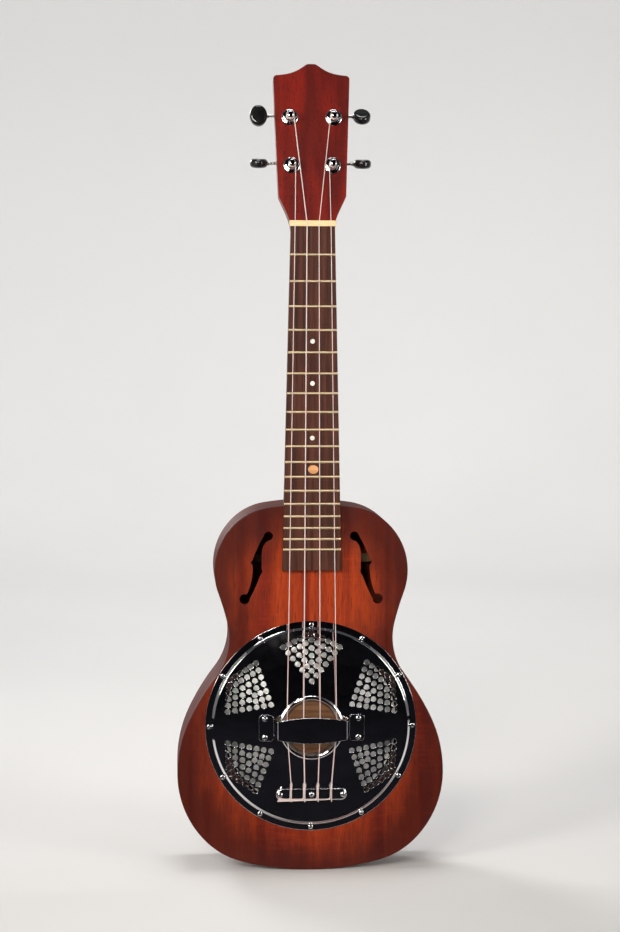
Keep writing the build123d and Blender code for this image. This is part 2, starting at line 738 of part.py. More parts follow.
with BuildPart() as biscuit:
    with BuildSketch(COVER.offset(BISCUIT_BOTTOM)):
        Circle(BISCUIT_RADIUS)
    extrude(amount=BISCUIT_TOP - BISCUIT_BOTTOM)
    fillet(biscuit.faces().sort_by(Axis.Y)[0].edges(), 0.8)
    with BuildSketch(COVER.offset(BISCUIT_TOP)):
        Rectangle(2 * BISCUIT_RADIUS + 4, SADDLE_THICKNESS)
    extrude(amount=-SADDLE_SLOT, mode=Mode.SUBTRACT)
    with BuildSketch(COVER.offset(BISCUIT_BOTTOM)):
        Circle(BISCUIT_SCREW_RADIUS)
    extrude(amount=2.8, mode=Mode.SUBTRACT)
write("biscuit", biscuit.part)

with BuildPart() as biscuit_screw:
    with BuildSketch(COVER.offset(BISCUIT_BOTTOM - CONE_SHEET - 1.2)):
        Circle(2.6)
    extrude(amount=1.2)
    with BuildSketch(COVER.offset(BISCUIT_BOTTOM - CONE_SHEET)):
        Circle(BISCUIT_SCREW_RADIUS)
    extrude(amount=3.2)
write("biscuit_screw", biscuit_screw.part)

# --- Tuners ----------------------------------------------------------------------

WORM_OFFSET = GEAR_PITCH_RADIUS + WORM_PITCH_RADIUS
GEAR_PLANE = -20.0            # depth of the gear and worm behind the headstock's face
GEAR_FACE = 2.4
GEAR_BORE = 2.0
HOUSING_FLOOR = HEAD_BACK - 2.0
HOUSING_BACK = -23.5
CAP_THICKNESS = 1.5
WAIST_RADIUS = 2.6
WAIST_LOW = 5.4
WAIST_HIGH = 9.2
POST_TOP = 12.2
WRAP_GAP = 0.12
WRAP_LOW = 5.7
SHAFT_RADIUS = 1.4
BUTTON_MIDDLE = 45.4          # distance of a button's middle from the middle line
BUTTON_HALF_LENGTH = 7.75
BUTTON_HALF_WIDTH = 9.4
BUTTON_THICKNESS = 7.8
BUTTON_BORE_DEPTH = 9.5
BUTTON_SCREW_RADIUS = 0.8
THREAD_LENGTH = 5 * WORM_PITCH
WORM_INNER_REACH = 7.4        # from the mesh point to the shaft's inner end
CAP_SIZE = (15.0, 19.0)       # of a gearbox and its cap
WASHER_RADIUS = 7.35
WASHER_THICKNESS = 1.8
HEXAGON_RADIUS = 5.6


def worm_plane(side, x, along):
    """Origin where the worm meets its gear; local z points out to the button."""
    return Plane(
        origin=head_point(side * x, along + WORM_OFFSET, GEAR_PLANE),
        x_dir=(0, sin(TILT), cos(TILT)),
        z_dir=(side, 0, 0),
    )


def make_post(spot):
    with BuildPart() as post:
        for low, high, radius in (
            (HOUSING_FLOOR - 0.8, WAIST_LOW, POST_RADIUS),
            (WAIST_LOW, WAIST_HIGH, WAIST_RADIUS),
            (WAIST_HIGH, POST_TOP, POST_RADIUS),
            (GEAR_PLANE - GEAR_FACE / 2 - 0.6, HOUSING_FLOOR - 0.8, GEAR_BORE),
        ):
            with BuildSketch(HEAD.offset(low)):
                with Locations(spot):
                    Circle(radius)
            extrude(amount=high - low)
        top_edge = post.edges().filter_by(GeomType.CIRCLE).sort_by(Axis.Y)[0]
        fillet(top_edge, 1.2)
        hole_plane = Plane(origin=head_point(spot[0], spot[1], 7.2), z_dir=(0, sin(TILT), cos(TILT)))
        with BuildSketch(hole_plane):
            Circle(0.7)
        extrude(amount=5, both=True, mode=Mode.SUBTRACT)
    return post.part


def make_gear(spot):
    """Teeth as wedges; a gap, not a tooth, faces the worm."""
    with BuildPart() as gear:
        with BuildSketch(HEAD.offset(GEAR_PLANE - GEAR_FACE / 2)):
            with Locations(spot):
                Circle(3.9)
                with PolarLocations(0, GEAR_TEETH, start_angle=90 + 180 / GEAR_TEETH):
                    with Locations((4.4, 0)):
                        Trapezoid(1.1, 1.6, 72, rotation=-90)
                Circle(GEAR_BORE, mode=Mode.SUBTRACT)
        extrude(amount=GEAR_FACE)
    return gear.part


def worm_shape(button_distance):
    """Shaft, collar and thread along local Z, the mesh point at the origin."""
    collar_low = button_distance - BUTTON_HALF_LENGTH - 1.3
    button_inner = button_distance - BUTTON_HALF_LENGTH
    shaft_end = button_inner + BUTTON_BORE_DEPTH
    with BuildPart() as worm:
        for low, high, radius in (
            (-WORM_INNER_REACH, -THREAD_LENGTH / 2 - 0.3, SHAFT_RADIUS),
            (-THREAD_LENGTH / 2 - 0.3, THREAD_LENGTH / 2 + 0.3, 1.6),
            (THREAD_LENGTH / 2 + 0.3, shaft_end, SHAFT_RADIUS),
            (collar_low, button_inner, 2.1),
        ):
            with BuildSketch(Plane.XY.offset(low)):
                Circle(radius)
            extrude(amount=high - low)
        with BuildSketch(Plane.XY.offset(shaft_end)):
            Circle(BUTTON_SCREW_RADIUS)
        extrude(amount=-4, mode=Mode.SUBTRACT)
        with BuildLine():
            turn = Helix(WORM_PITCH, THREAD_LENGTH, 1.5, center=(0, 0, -THREAD_LENGTH / 2))
        with BuildSketch(Plane(origin=turn @ 0, x_dir=(1, 0, 0), z_dir=turn % 0)):
            with BuildLine():
                Polyline((-0.05, -0.42), (1.35, -0.24), (1.35, 0.24), (-0.05, 0.42), close=True)
            make_face()
        sweep(path=turn, is_frenet=True)
    return worm.part


def make_button(side, x, along, turn):
    """An oval knob about its shaft, turned to its angle at rest."""
    angle = radians(turn)
    normal = HEAD.z_dir * cos(angle) + HEAD.y_dir * sin(angle)
    middle = head_point(side * BUTTON_MIDDLE, along + WORM_OFFSET, GEAR_PLANE)
    shaft_out = Plane(origin=middle, x_dir=HEAD.y_dir, z_dir=(side, 0, 0))
    with BuildPart() as button:
        with BuildSketch(Plane(origin=middle, x_dir=(side, 0, 0), z_dir=normal)):
            Ellipse(BUTTON_HALF_LENGTH, BUTTON_HALF_WIDTH)
        extrude(amount=BUTTON_THICKNESS / 2, both=True)
        fillet(button.edges(), 3.0)
        with BuildSketch(shaft_out.offset(-BUTTON_HALF_LENGTH)):
            Circle(SHAFT_RADIUS)
        extrude(amount=BUTTON_BORE_DEPTH, mode=Mode.SUBTRACT)
        with BuildSketch(shaft_out):
            Circle(BUTTON_SCREW_RADIUS)
        extrude(amount=BUTTON_HALF_LENGTH, mode=Mode.SUBTRACT)
        with BuildSketch(shaft_out.offset(BUTTON_HALF_LENGTH)):
            Circle(1.75)
        extrude(amount=-1.4, mode=Mode.SUBTRACT)
    with BuildPart() as screw:
        with BuildSketch(shaft_out.offset(BUTTON_HALF_LENGTH - 1.4)):
            Circle(1.7)
        extrude(amount=1.1)
        with BuildSketch(shaft_out.offset(BUTTON_HALF_LENGTH - 1.4)):
            Circle(BUTTON_SCREW_RADIUS)
        extrude(amount=-6)
        with BuildSketch(shaft_out.offset(BUTTON_HALF_LENGTH - 0.3)):
            Rectangle(2.2, 0.45)
            Rectangle(0.45, 2.2)
        extrude(amount=-0.6, mode=Mode.SUBTRACT)
    return button.part, screw.part


def make_housing(side, spot):
    """Gearbox shell on two lugs, open at the back where its cap goes."""
    x, along = spot
    middle = (x, along + HOUSING_SHIFT)
    worm_line = along + WORM_OFFSET
    with BuildPart() as housing:
        with BuildSketch(HEAD.offset(HEAD_BACK)):
            with Locations(middle):
                SlotOverall(2 * TUNER_SCREW_REACH + 7, 7, rotation=90)
                RectangleRounded(*CAP_SIZE, 2)
            with Locations(*[(x, middle[1] + end * TUNER_SCREW_REACH) for end in (-1, 1)]):
                Circle(PILOT_RADIUS + 0.2, mode=Mode.SUBTRACT)
        extrude(amount=-2)
        with BuildSketch(HEAD.offset(HEAD_BACK)):
            with Locations(middle):
                RectangleRounded(*CAP_SIZE, 2)
        extrude(amount=HOUSING_BACK - HEAD_BACK)
        with BuildSketch(HEAD.offset(HOUSING_FLOOR)):
            with Locations(spot):
                Circle(6.1)
            with Locations((x, worm_line)):
                Rectangle(12.2, 6.6)
        extrude(amount=HOUSING_BACK - HOUSING_FLOOR, mode=Mode.SUBTRACT)
        with BuildSketch(HEAD):
            with Locations(spot):
                Circle(POST_RADIUS + RUNNING_GAP)
        extrude(amount=-20, mode=Mode.SUBTRACT)
        with BuildSketch(worm_plane(side, abs(x), along)):
            Circle(SHAFT_RADIUS + RUNNING_GAP)
        extrude(amount=10, mode=Mode.SUBTRACT)
        with BuildSketch(worm_plane(side, abs(x), along)):
            Circle(SHAFT_RADIUS + RUNNING_GAP)
        extrude(amount=-WORM_INNER_REACH - 0.1, mode=Mode.SUBTRACT)
    return housing.part


with BuildPart() as tuner_caps:
    with BuildSketch(HEAD.offset(HOUSING_BACK)):
        with Locations(*[(x, along + HOUSING_SHIFT) for x, along in POST_SPOTS]):
            RectangleRounded(*CAP_SIZE, 2)
    extrude(amount=-CAP_THICKNESS)
    outer_faces = tuner_caps.faces().filter_by(HEAD).sort_by(Axis.Y)[-len(POST_SPOTS):]
    fillet(outer_faces.edges(), 0.6)
write("tuner_caps", tuner_caps.part)

with BuildPart() as tuner_bushings:
    with BuildSketch(HEAD.offset(-10)):
        with Locations(*POST_SPOTS):
            Circle(BUSHING_RADIUS)
            Circle(POST_RADIUS + RUNNING_GAP, mode=Mode.SUBTRACT)
    extrude(amount=10 + WASHER_THICKNESS)
    with BuildSketch(HEAD.offset(WASHER_THICKNESS)):
        with Locations(*POST_SPOTS):
            RegularPolygon(HEXAGON_RADIUS, 6)
            Circle(POST_RADIUS + RUNNING_GAP, mode=Mode.SUBTRACT)
    extrude(amount=2.2)
write("tuner_bushings", tuner_bushings.part)

with BuildPart() as tuner_washers:
    with BuildSketch(HEAD):
        with Locations(*POST_SPOTS):
            Circle(WASHER_RADIUS)
            Circle(BUSHING_RADIUS, mode=Mode.SUBTRACT)
    extrude(amount=WASHER_THICKNESS)
    front_rims = [
        edge for edge in tuner_washers.edges().filter_by(GeomType.CIRCLE)
        if abs(edge.radius - WASHER_RADIUS) < 0.01
        and HEAD.to_local_coords(edge.arc_center).Z > WASHER_THICKNESS / 2
    ]
    fillet(front_rims, 1.2)
write("tuner_washers", tuner_washers.part)

with BuildPart() as tuner_screws:
    with BuildSketch(HEAD.offset(HEAD_BACK - 2)):
        with Locations(*TUNER_SCREW_SPOTS):
            Circle(1.9)
    extrude(amount=-1.0)
    with BuildSketch(HEAD.offset(HEAD_BACK - 2)):
        with Locations(*TUNER_SCREW_SPOTS):
            Circle(PILOT_RADIUS)
    extrude(amount=9)
write("tuner_screws", tuner_screws.part)

for letter, side, x, along, turn in TUNERS:
    spot = (side * x, along)
    write(f"post_{letter}", make_post(spot))
    write(f"gear_{letter}", make_gear(spot))
    write(f"tuner_housing_{letter}", make_housing(side, spot))
    with BuildPart() as worm:
        with Locations(worm_plane(side, x, along)):
            add(worm_shape(BUTTON_MIDDLE - x))
    write(f"worm_{letter}", worm.part)
    button, button_screw = make_button(side, x, along, turn)
    write(f"button_{letter}", button)
    write(f"button_screw_{letter}", button_screw)

# --- Strings, nut and saddle ---------------------------------------------------------

WRAP_TURNS = 3
LOOP_RADIUS = 1.2
KNOT_RADIUS = 1.3


def at_height(x, z, height):
    return Vector(x, BOARD_Y - height, z)


def tangent_spot(start, centre, radius, side):
    """Where a line from start touches a circle, on the side towards the middle."""
    dx, dy = centre[0] - start[0], centre[1] - start[1]
    reach = hypot(dx, dy)
    swing = side * asin(radius / reach)
    heading = atan2(dy, dx) + swing
    length = (reach ** 2 - radius ** 2) ** 0.5
    return start[0] + length * cos(heading), start[1] + length * sin(heading)


def make_string(letter, side, x, along):
    """Wraps on the post, run over nut and saddle, loop and knot at the tie bar."""
    place = STRING_PLACES[letter]
    diameter = STRING_DIAMETERS[letter]
    wrap_radius = WAIST_RADIUS + WRAP_GAP + diameter / 2
    leave = WRAP_LOW + diameter / 2
    nut_x = place * NUT_SPACING
    touch = tangent_spot((nut_x, 0), (side * x, along), wrap_radius, side)
    tie_x = place * TIE_SPACING
    tie_top = COVER_Z + TIE_BAR_Y + TIE_BAR_WIDTH / 2
    tie_low = tie_top - TIE_BAR_WIDTH
    over = TIE_BAR_TOP + diameter / 2 + 0.1
    with BuildPart() as string:
        with BuildLine():
            route = FilletPolyline(
                head_point(touch[0], touch[1], leave),
                at_height(nut_x, NUT_Z + NUT_THICKNESS / 2, NUT_STRING_HEIGHT),
                at_height(place * SADDLE_SPACING, COVER_Z, SADDLE_STRING_HEIGHT),
                at_height(tie_x, tie_top + 0.5, STRING_HOLE_HEIGHT),
                at_height(tie_x, tie_low - 1.6, STRING_HOLE_HEIGHT),
                at_height(tie_x, tie_low - 1.6, over),
                at_height(tie_x, tie_top + 2.2, over),
                radius=[8, 8, 8, LOOP_RADIUS, LOOP_RADIUS],
            )
        with BuildSketch(Plane(origin=route @ 0, z_dir=route % 0)):
            Circle(diameter / 2)
        sweep(path=route)
        with Locations(at_height(tie_x, tie_top + 2.4, (over + STRING_HOLE_HEIGHT + 0.2) / 2)):
            Sphere(KNOT_RADIUS)
        with BuildSketch(HEAD.offset(WRAP_LOW)):
            with Locations((side * x, along)):
                Circle(wrap_radius + diameter / 2)
                Circle(wrap_radius - diameter / 2, mode=Mode.SUBTRACT)
        extrude(amount=WRAP_TURNS * diameter)
    print(f"string {letter}: {route.length:.1f} mm from post to knot")
    return string.part


strings = []
for letter, side, x, along, _ in TUNERS:
    strings.append(make_string(letter, side, x, along))
    write(f"string_{letter}", strings[-1])

with BuildPart() as nut:
    with BuildSketch(across(BOARD_Y)):
        with Locations((0, NUT_Z + NUT_THICKNESS / 2)):
            Rectangle(NUT_WIDTH, NUT_THICKNESS)
    extrude(amount=NUT_STRING_HEIGHT + 0.2)
    fillet(nut.faces().sort_by(Axis.Y)[0].edges(), 0.7)
    for string in strings:
        add(string, mode=Mode.SUBTRACT)
write("nut", nut.part)

with BuildPart() as saddle:
    with BuildSketch(COVER.offset(BISCUIT_TOP - SADDLE_SLOT)):
        Rectangle(SADDLE_LENGTH, SADDLE_THICKNESS)
    extrude(amount=SADDLE_STRING_HEIGHT + 0.1 - BISCUIT_TOP + SADDLE_SLOT)
    fillet(saddle.faces().sort_by(Axis.Y)[0].edges().filter_by(Axis.X), 1.2)
    for string in strings:
        add(string, mode=Mode.SUBTRACT)
write("saddle", saddle.part)
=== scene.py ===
import json
import math

import bpy
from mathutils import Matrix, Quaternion, Vector


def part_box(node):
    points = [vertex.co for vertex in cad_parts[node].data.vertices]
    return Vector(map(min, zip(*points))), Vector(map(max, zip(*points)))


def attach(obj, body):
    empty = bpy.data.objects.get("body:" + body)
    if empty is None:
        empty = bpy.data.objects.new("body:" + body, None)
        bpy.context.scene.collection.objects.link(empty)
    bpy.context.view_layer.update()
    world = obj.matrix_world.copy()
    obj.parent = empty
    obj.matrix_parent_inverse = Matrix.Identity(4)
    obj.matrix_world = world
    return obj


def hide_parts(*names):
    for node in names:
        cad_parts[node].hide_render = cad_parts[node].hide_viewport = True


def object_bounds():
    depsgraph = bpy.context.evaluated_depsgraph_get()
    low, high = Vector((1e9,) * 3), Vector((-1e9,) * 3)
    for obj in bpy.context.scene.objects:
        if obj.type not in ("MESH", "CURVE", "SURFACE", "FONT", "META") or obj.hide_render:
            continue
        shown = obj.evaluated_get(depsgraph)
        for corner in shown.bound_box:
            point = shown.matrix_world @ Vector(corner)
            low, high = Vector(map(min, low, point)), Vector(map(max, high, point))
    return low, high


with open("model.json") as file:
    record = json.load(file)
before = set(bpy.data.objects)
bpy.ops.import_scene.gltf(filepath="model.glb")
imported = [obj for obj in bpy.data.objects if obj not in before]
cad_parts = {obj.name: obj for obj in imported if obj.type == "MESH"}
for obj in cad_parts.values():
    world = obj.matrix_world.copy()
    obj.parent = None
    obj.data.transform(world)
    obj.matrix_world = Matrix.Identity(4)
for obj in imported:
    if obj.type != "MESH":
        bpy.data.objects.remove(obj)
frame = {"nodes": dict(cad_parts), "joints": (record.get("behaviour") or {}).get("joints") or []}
cad_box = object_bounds()
nodes = frame["nodes"]
record_joints = {joint["name"]: joint for joint in frame["joints"]}

MM = 0.001

# --- Places taken from the frame ------------------------------------------------

top_low, top_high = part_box("top_plate")
cover_low, cover_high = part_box("cover_plate")
BOARD_Y = top_low.y                                  # face of the soundboard
COVER_Z = (cover_low.z + cover_high.z) / 2
COVER_RADIUS = cover_high.x
BODY_TOP = top_high.z
HALF_WIDTH = top_high.x


# --- Materials -------------------------------------------------------------------

class Look:
    """A node material built up call by call around one Principled shader."""

    def __init__(self, name, **constants):
        self.material = bpy.data.materials.new(name)
        self.material.use_nodes = True
        self.tree = self.material.node_tree
        self.tree.nodes.clear()
        self.shader = self.add("ShaderNodeBsdfPrincipled")
        self.add("ShaderNodeOutputMaterial", {"Surface": self.shader.outputs["BSDF"]})
        self.where = self.add("ShaderNodeTexCoord").outputs["Object"]
        for socket, value in constants.items():
            self.shader.inputs[socket.replace("_", " ")].default_value = value

    def add(self, kind, inputs=None, **settings):
        made = self.tree.nodes.new(kind)
        for key, value in settings.items():
            setattr(made, key, value)
        for name, value in (inputs or {}).items():
            if isinstance(value, bpy.types.NodeSocket):
                self.tree.links.new(value, made.inputs[name])
            else:
                made.inputs[name].default_value = value
        return made

    def set(self, socket, value):
        self.tree.links.new(value, self.shader.inputs[socket])

    def placed(self, scale, offset=(0, 0, 0), turn=(0, 0, 0)):
        """The row frame's coordinates in metres, turned, moved and stretched."""
        return self.add("ShaderNodeMapping", {
            "Vector": self.where, "Location": offset, "Rotation": turn, "Scale": scale,
        }).outputs["Vector"]

    def noise(self, scale, detail=3.0, roughness=0.5, distortion=0.0, offset=(0, 0, 0)):
        return self.add("ShaderNodeTexNoise", {
            "Vector": self.placed(scale, offset), "Scale": 1.0, "Detail": detail,
            "Roughness": roughness, "Distortion": distortion,
        }).outputs["Fac"]

    def math(self, operation, first, second=0.0, third=0.0):
        return self.add(
            "ShaderNodeMath", {0: first, 1: second, 2: third}, operation=operation
        ).outputs[0]

    def span(self, value, low, high, to_low=0.0, to_high=1.0):
        """value from low to high, eased to to_low to to_high."""
        return self.add("ShaderNodeMapRange", {
            "Value": value, "From Min": low, "From Max": high,
            "To Min": to_low, "To Max": to_high,
        }, interpolation_type="SMOOTHSTEP").outputs["Result"]

    def mix(self, share, first, second, blend="MIX"):
        node = self.add("ShaderNodeMix", {0: share}, data_type="RGBA", blend_type=blend)
        for index, colour in ((6, first), (7, second)):
            if isinstance(colour, bpy.types.NodeSocket):
                self.tree.links.new(colour, node.inputs[index])
            else:
                node.inputs[index].default_value = (*colour, 1.0)
        return node.outputs[2]

    def bump(self, height, distance, edge_radius=0.0):
        """Relief of that depth in metres, over edges eased by edge_radius."""
        inputs = {"Height": height, "Distance": distance, "Strength": 1.0}
        if edge_radius:
            inputs["Normal"] = self.add(
                "ShaderNodeBevel", {"Radius": edge_radius}, samples=4
            ).outputs["Normal"]
        self.set("Normal", self.add("ShaderNodeBump", inputs).outputs["Normal"])

    def axes(self):
        return self.add("ShaderNodeSeparateXYZ", {"Vector": self.where}).outputs


def distance_to(look, x, z):
    """Distance in the plane of the soundboard from the point x, z."""
    across = look.math("SUBTRACT", look.axes()["X"], x)
    along = look.math("SUBTRACT", look.axes()["Z"], z)
    squares = look.math("ADD", look.math("POWER", across, 2.0), look.math("POWER", along, 2.0))
    return look.math("SQRT", squares)


LOWER_BOUT = (0.97 * HALF_WIDTH, 0.97 * HALF_WIDTH)             # centre height, radius
UPPER_BOUT = (BODY_TOP - 0.68 * HALF_WIDTH, 0.71 * HALF_WIDTH)


def inside_depth(look):
    """How far a point of the soundboard is from its edge, from its two bouts."""
    depths = [
        look.math("SUBTRACT", radius, distance_to(look, 0.0, height))
        for height, radius in (LOWER_BOUT, UPPER_BOUT)
    ]
    return look.math("SMOOTH_MAX", depths[0], depths[1], 0.02)


# Painted shade: a near-black colour for the soundboard under the cover and for the soundwell,
# standing in for the shade the cover casts.
UNDER_COVER_SHADE = (0.03, 0.012, 0.008)
BURST_WIDTH = 50 * MM             # how far the dark edge reaches into the soundboard
BURST_STRENGTH = 0.85
PORE_DEPTH = 0.03 * MM


def stretched(grain, across, along):
    """The grain's scales times along in its long direction, and times across in the others."""
    short = min(grain)
    return [(across if scale > short else along) * scale for scale in grain]


def mahogany(name, light, dark, grain, burst=None, bands=0.0, coat=0.0, shine_level=0.4,
             roughness=0.36, edge_radius=0.4 * MM):
    """Lacquered mahogany, its pores along the small number of grain.

    burst is the colour of the soundboard's edge, and with it the soundboard under the cover gets
    painted shade; bands is the strength of the cross ripples.
    """
    look = Look(name, Coat_Weight=coat, Coat_Roughness=0.2, Coat_IOR=1.4,
                Specular_IOR_Level=shine_level)
    broad = look.noise(stretched(grain, 0.055, 0.03), 2.0, 0.5, 0.6)
    fine = look.noise(stretched(grain, 0.35, 0.4), 4.0, 0.6, 0.3)
    pores = look.noise(stretched(grain, 1.6, 1.1), 2.0, 0.5)
    ribbon = look.noise((26, 26, 210), 3.0, 0.55, 1.2)
    where_ribbon = look.noise((11, 11, 7), 1.0, offset=(3.1, 0.7, 5.2))
    tone = look.mix(look.span(broad, 0.34, 0.66), dark, light)
    tone = look.mix(look.span(fine, 0.38, 0.7, 0.0, 0.4), tone, dark)
    ripple = look.math(
        "MULTIPLY", look.span(ribbon, 0.46, 0.66), look.span(where_ribbon, 0.46, 0.62)
    )
    glow = [min(1.0, 1.45 * part) for part in light]
    tone = look.mix(look.math("MULTIPLY", ripple, bands), tone, glow)
    if burst:
        depth = inside_depth(look)
        blotch = look.noise((60, 60, 24), 3.0, 0.6)
        reach = look.math("ADD", depth, look.span(blotch, 0.3, 0.7, -0.006, 0.006))
        middle = look.span(reach, 0.0, BURST_WIDTH)
        tone = look.mix(middle, look.mix(BURST_STRENGTH, tone, burst), tone)
        # Painted shade: inside the cover's rim the soundboard is coloured near black, standing in
        # for the cover's shade.
        past_cover = look.span(
            distance_to(look, 0.0, COVER_Z), COVER_RADIUS - 4 * MM, COVER_RADIUS - 2 * MM
        )
        tone = look.mix(past_cover, UNDER_COVER_SHADE, tone)
    pore_share = look.span(pores, 0.56, 0.66)
    tone = look.mix(look.math("MULTIPLY", pore_share, 0.55), tone, [0.3 * part for part in dark])
    look.set("Base Color", tone)
    look.set("Roughness", look.span(fine, 0.3, 0.7, roughness - 0.05, roughness + 0.07))
    look.bump(look.math("MULTIPLY", pore_share, -1.0), PORE_DEPTH, edge_radius)
    return look.material


def bare_wood(name, light, dark, grain, roughness=0.6, edge_radius=0.3 * MM):
    look = Look(name, Specular_IOR_Level=0.2)
    rings = look.noise(stretched(grain, 0.25, 0.12), 3.0, 0.6, 0.5)
    fibres = look.noise(grain, 3.0, 0.6)
    tone = look.mix(look.span(rings, 0.35, 0.65), dark, light)
    tone = look.mix(look.span(fibres, 0.45, 0.7, 0.0, 0.5), tone, dark)
    look.set("Base Color", tone)
    look.set("Roughness", look.span(fibres, 0.3, 0.7, roughness - 0.06, roughness + 0.08))
    look.bump(fibres, 0.00005, edge_radius)
    return look.material


def polished_metal(name, colour, low, high, edge_radius=0.0):
    """Plated or polished metal with faint haze where it has been touched."""
    look = Look(name, Metallic=1.0)
    haze = look.noise((45, 45, 45), 4.0, 0.6, 0.4)
    dull = [0.86 * part for part in colour]
    look.set("Base Color", look.mix(look.span(haze, 0.4, 0.75), colour, dull))
    look.set("Roughness", look.span(haze, 0.35, 0.75, low, high))
    look.bump(look.noise((160, 160, 160), 2.0), 0.0000025, edge_radius)
    return look.material


RING_PITCH = 1.1 * MM
RING_DEPTH = 0.03 * MM


def spun_metal(name, colour):
    """Aluminium with the fine rings that spinning leaves round the cover's axis."""
    look = Look(name, Metallic=0.75)
    radius = distance_to(look, 0.0, COVER_Z)
    rings = look.math("SINE", look.math("MULTIPLY", radius, 2 * math.pi / RING_PITCH))
    haze = look.noise((70, 70, 70), 3.0, 0.6)
    look.set("Base Color", look.mix(look.span(haze, 0.35, 0.7), colour, [0.75 * c for c in colour]))
    look.set("Roughness", look.span(haze, 0.3, 0.7, 0.42, 0.54))
    look.bump(rings, RING_DEPTH)
    return look.material


def turned_steel(name, colour):
    look = Look(name, Metallic=1.0)
    lines = look.noise((2400, 300, 300), 2.0, 0.6)
    look.set("Base Color", look.mix(look.span(lines, 0.3, 0.7), colour, [0.8 * c for c in colour]))
    look.set("Roughness", look.span(lines, 0.3, 0.7, 0.2, 0.38))
    look.bump(lines, 0.000006)
    return look.material


def plastic(name, colour, shade, low, high, grain, **constants):
    look = Look(name, **constants)
    spots = look.noise(grain, 3.0, 0.6, 0.5)
    look.set("Base Color", look.mix(look.span(spots, 0.35, 0.68), colour, shade))
    look.set("Roughness", look.span(spots, 0.3, 0.7, low, high))
    look.bump(look.noise([4 * part for part in grain], 2.0), 0.000004, 0.25 * MM)
    return look.material


def pearl(name):
    look = Look(name, Coat_Weight=0.4, Coat_Roughness=0.05)
    layers = look.noise((260, 260, 420), 3.0, 0.6, 2.5)
    warm = look.mix(look.span(layers, 0.35, 0.5), (0.42, 0.42, 0.44), (0.82, 0.78, 0.7))
    look.set("Base Color", look.mix(look.span(layers, 0.52, 0.7), warm, (0.6, 0.64, 0.6)))
    look.set("Roughness", look.span(layers, 0.3, 0.7, 0.15, 0.3))
    look.bump(layers, 0.00001)
    return look.material


ALONG_Z = (1100, 1100, 75)        # grain along the neck and the soundboard
ALONG_SIDE = (75, 1100, 75)       # grain along the bent sides
ALONG_X = (75, 1100, 1100)

looks = {
    "top_wood": mahogany("top mahogany", (0.31, 0.034, 0.003), (0.15, 0.010, 0.0015), ALONG_Z,
                         burst=(0.03, 0.0016, 0.0008), bands=0.22, coat=0.04, shine_level=0.2,
                         roughness=0.42),
    "side_wood": mahogany("side mahogany", (0.11, 0.010, 0.003), (0.05, 0.005, 0.002), ALONG_SIDE,
                          bands=0.1, shine_level=0.12, roughness=0.6),
    "neck_wood": mahogany("neck mahogany", (0.19, 0.026, 0.007), (0.10, 0.012, 0.004), ALONG_Z,
                          coat=0.15),
    "head_wood": mahogany("headstock mahogany", (0.19, 0.007, 0.0015), (0.09, 0.003, 0.001),
                          ALONG_Z, bands=0.15, shine_level=0.15, roughness=0.48),
    "inner_wood": bare_wood("spruce", (0.26, 0.16, 0.08), (0.17, 0.10, 0.045), ALONG_X),
    "fingerboard_wood": bare_wood("rosewood", (0.085, 0.024, 0.013), (0.034, 0.010, 0.006), ALONG_Z,
                                  roughness=0.55, edge_radius=0.5 * MM),
    "inlay_wood": bare_wood("inlay wood", (0.78, 0.42, 0.2), (0.5, 0.24, 0.1), ALONG_X, 0.4),
    "maple": bare_wood("maple", (0.15, 0.072, 0.032), (0.09, 0.038, 0.017), ALONG_X, 0.5),
    "fret_metal": polished_metal("fret metal", (0.95, 0.78, 0.50), 0.46, 0.56),
    "chrome": polished_metal("chrome", (0.82, 0.82, 0.84), 0.03, 0.09, 0.6 * MM),
    "brass_gear": polished_metal("brass", (0.76, 0.55, 0.24), 0.22, 0.36),
    "cone_metal": spun_metal("spun aluminium", (0.95, 0.94, 0.92)),
    "steel": turned_steel("turned steel", (0.66, 0.65, 0.63)),
    "bone": plastic("bone", (0.84, 0.60, 0.33), (0.74, 0.50, 0.26), 0.3, 0.42, (180, 180, 700)),
    "string_nylon": plastic("fluorocarbon", (0.64, 0.53, 0.51), (0.54, 0.43, 0.41), 0.25, 0.4,
                            (500, 500, 120), Subsurface_Weight=0.3, Subsurface_Scale=0.002,
                            Coat_Weight=0.3),
    "black_plastic": plastic("black plastic", (0.008, 0.008, 0.009), (0.014, 0.013, 0.013),
                             0.08, 0.2, (90, 90, 90), Coat_Weight=0.5, Coat_Roughness=0.04),
    "pearl": pearl("pearl"),
}

own_looks = {
    # Painted shade: the soundwell is coloured near black, standing in for the shade under the
    # cover.
    "soundwell": bare_wood("soundwell painted shade", UNDER_COVER_SHADE, [0.6 * c for c in UNDER_COVER_SHADE], ALONG_X),
    "back_plate": mahogany("back mahogany", (0.17, 0.021, 0.006), (0.08, 0.009, 0.003), ALONG_Z,
                           bands=0.12, coat=0.12),
}
for name, node in nodes.items():
    for slot in node.material_slots:
        finish = own_looks.get(name) or looks[slot.material.name.split(".")[0]]
        slot.link = "OBJECT"
        slot.material = finish

# --- Strings: wraps, loops, knots and tails ---------------------------------------

CORNER_STEPS = 8
TURN_STEPS = 24
WRAP_TURNS = 3.3
WRAP_GAP = 0.12 * MM
WAIST_RADIUS = 2.6 * MM
WRAP_LOW = 5.7 * MM               # in front of the headstock's face
STRING_BEND = 1.3 * MM            # how far from a corner a string starts to bend
TAIL_BEND = 2.5 * MM
KNOT_TURNS = 2.6

nut_low, nut_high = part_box("nut")
bar_low, bar_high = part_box("tie_bar")

NUT_SPACING = 10.3 * MM
SADDLE_SPACING = 14.4 * MM
TIE_SPACING = 11.7 * MM
NUT_STRING_HEIGHT = 8.2 * MM      # above the soundboard, as are the next two
SADDLE_STRING_HEIGHT = 13.0 * MM
STRING_HOLE_HEIGHT = 9.3 * MM
TAIL_END = Vector((bar_low.x + 1.5 * MM, 0, bar_low.z + 0.6 * MM))


